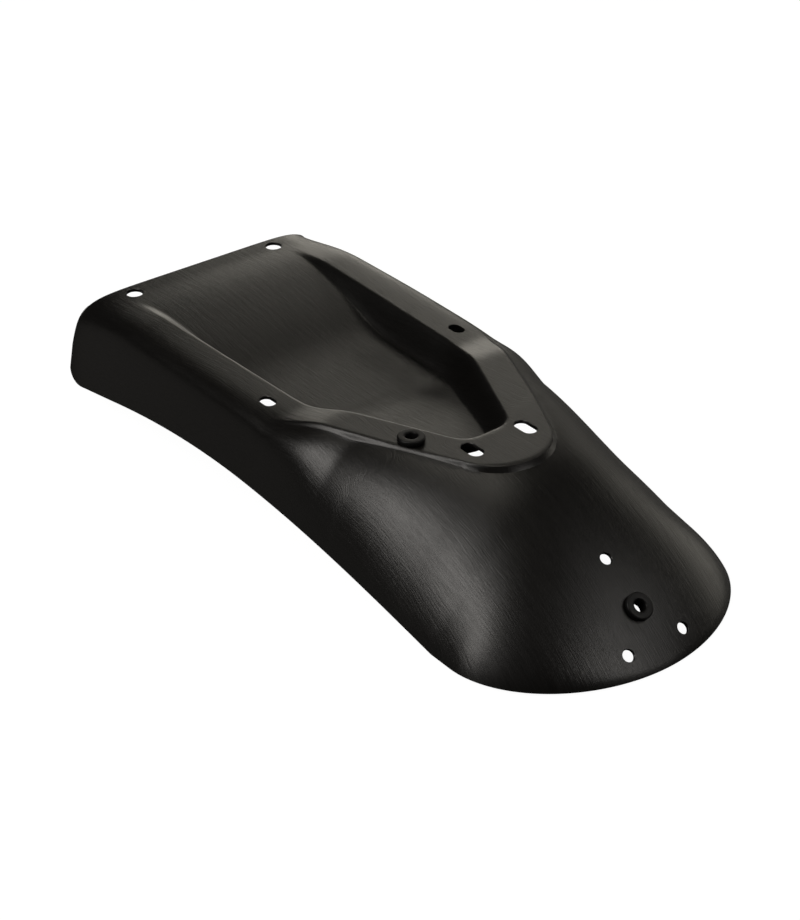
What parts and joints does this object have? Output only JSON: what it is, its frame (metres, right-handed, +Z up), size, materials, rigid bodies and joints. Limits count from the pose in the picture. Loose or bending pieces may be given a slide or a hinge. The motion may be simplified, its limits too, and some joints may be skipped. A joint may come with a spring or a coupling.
{
  "type": "motorcycle rear fender",
  "caption": "Short pressed-sheet rear fender with a recessed tray under the seat, arched skirts, slotted mounting holes and rubber grommets.",
  "frame": {"origin": "midway between the front edge and the tail tip, on the symmetry plane, at the level of the surface that the fender rests on", "axes": "+X from the front edge to the tail, +Y to the bike's right, +Z up"},
  "size_m": [0.4654, 0.197, 0.0825],
  "materials": {
    "shell": "satin black over fine lengthwise brushing",
    "rubber": "matt black moulded rubber"
  },
  "bodies": {
    "root": {"fender_shell": "shell", "pad_grommet": "rubber", "tail_grommet": "rubber"}
  },
  "joints": []
}
